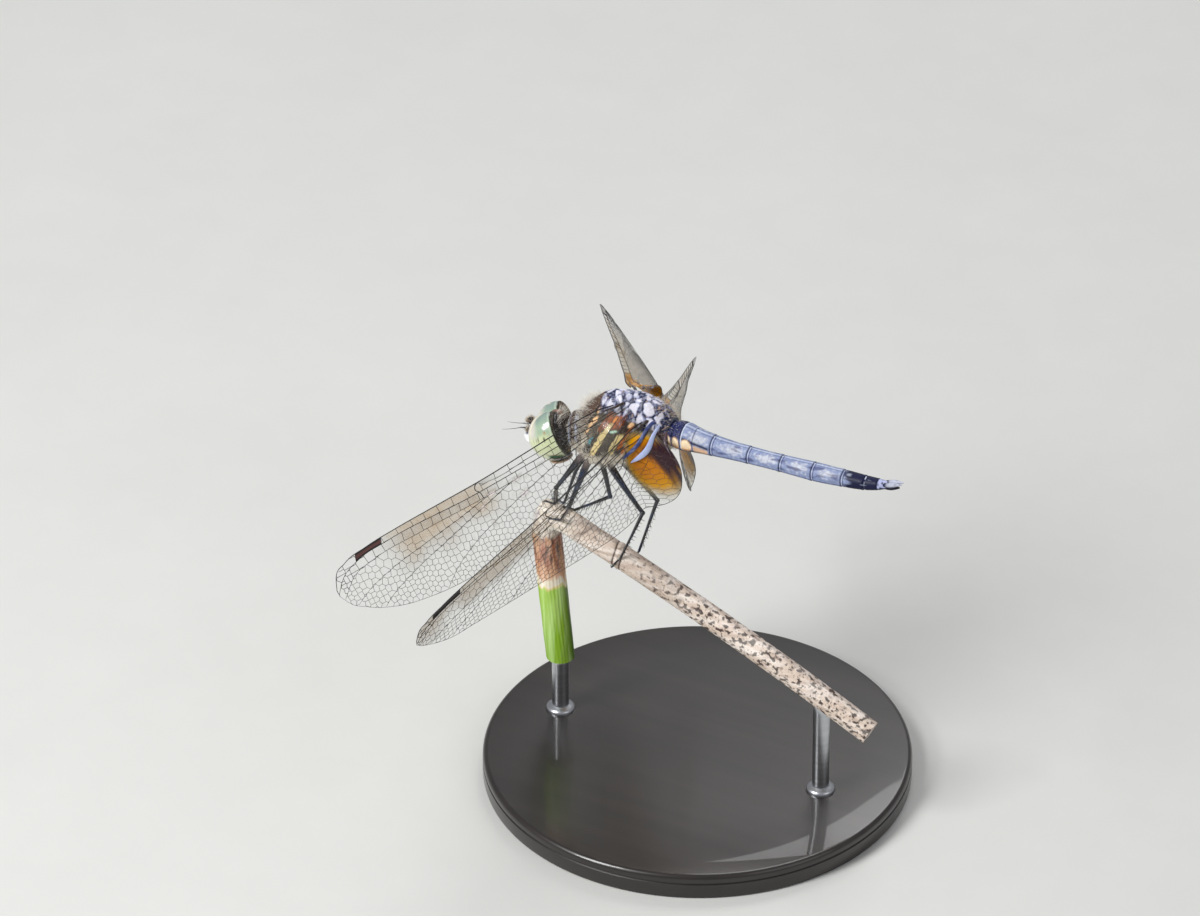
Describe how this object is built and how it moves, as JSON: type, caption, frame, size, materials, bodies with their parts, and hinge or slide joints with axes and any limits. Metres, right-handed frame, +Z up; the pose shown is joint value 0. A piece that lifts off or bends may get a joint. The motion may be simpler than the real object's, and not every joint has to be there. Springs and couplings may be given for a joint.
{
  "type": "dragonfly model",
  "caption": "Life-size male blue dasher dragonfly gripping a bent reed stem, with clear veined wings, green eyes and a powder-blue tapering abdomen, on a plain round display stand.",
  "frame": {"origin": "centre of the underside of the stand's round base", "axes": "+Z up, away from the surface the base stands on; the dragonfly faces -X and its left side is towards -Y"},
  "size_m": [0.0446, 0.0531, 0.0405],
  "materials": {
    "eye": "glossy, blue-grey above to pale green and cream below, with faint bands",
    "head_black": "dark, low sheen, with pale hairs",
    "face": "waxy white, pinkish below",
    "thorax": "dark brown with cream stripes, powder-blue plates above, tan hairs",
    "abdomen": "powdery light blue with cream and navy blotches",
    "abdomen_tip": "navy black with blue bloom",
    "legs": "black with a blue sheen",
    "wing": "clear membrane with dark veins, amber at the base",
    "reed_green": "satin green stem, red-brown and cream below the fold",
    "reed_dry": "dull pinkish tan with dark brown blotches",
    "stand_base": "satin black",
    "stand_rod": "fine brushed"
  },
  "bodies": {
    "root": {"abdomen_1": "abdomen", "abdomen_10": "abdomen", "abdomen_2": "abdomen", "abdomen_3": "abdomen", "abdomen_4": "abdomen", "abdomen_5": "abdomen", "abdomen_6": "abdomen", "abdomen_7": "abdomen", "abdomen_8": "abdomen_tip", "abdomen_9": "abdomen_tip", "antenna_left": "legs", "antenna_right": "legs", "cercus_left": "abdomen", "cercus_right": "abdomen", "epiproct": "abdomen_tip", "eye_left": "eye", "eye_right": "eye", "face": "face", "head": "head_black", "labium": "face", "leg_fore_left_femur": "legs", "leg_fore_left_tarsus": "legs", "leg_fore_left_tibia": "legs", "leg_fore_right_femur": "legs", "leg_fore_right_tarsus": "legs", "leg_fore_right_tibia": "legs", "leg_hind_left_femur": "legs", "leg_hind_left_tarsus": "legs", "leg_hind_left_tibia": "legs", "leg_hind_right_femur": "legs", "leg_hind_right_tarsus": "legs", "leg_hind_right_tibia": "legs", "leg_mid_left_femur": "legs", "leg_mid_left_tarsus": "legs", "leg_mid_left_tibia": "legs", "leg_mid_right_femur": "legs", "leg_mid_right_tarsus": "legs", "leg_mid_right_tibia": "legs", "neck": "head_black", "prothorax": "thorax", "reed_dry": "reed_dry", "reed_green": "reed_green", "stand_base": "stand_base", "stand_rod_front": "stand_rod", "stand_rod_rear": "stand_rod", "thorax": "thorax", "vertex": "head_black", "wing_fore_left": "wing", "wing_fore_right": "wing", "wing_hind_left": "wing", "wing_hind_right": "wing"}
  },
  "joints": []
}
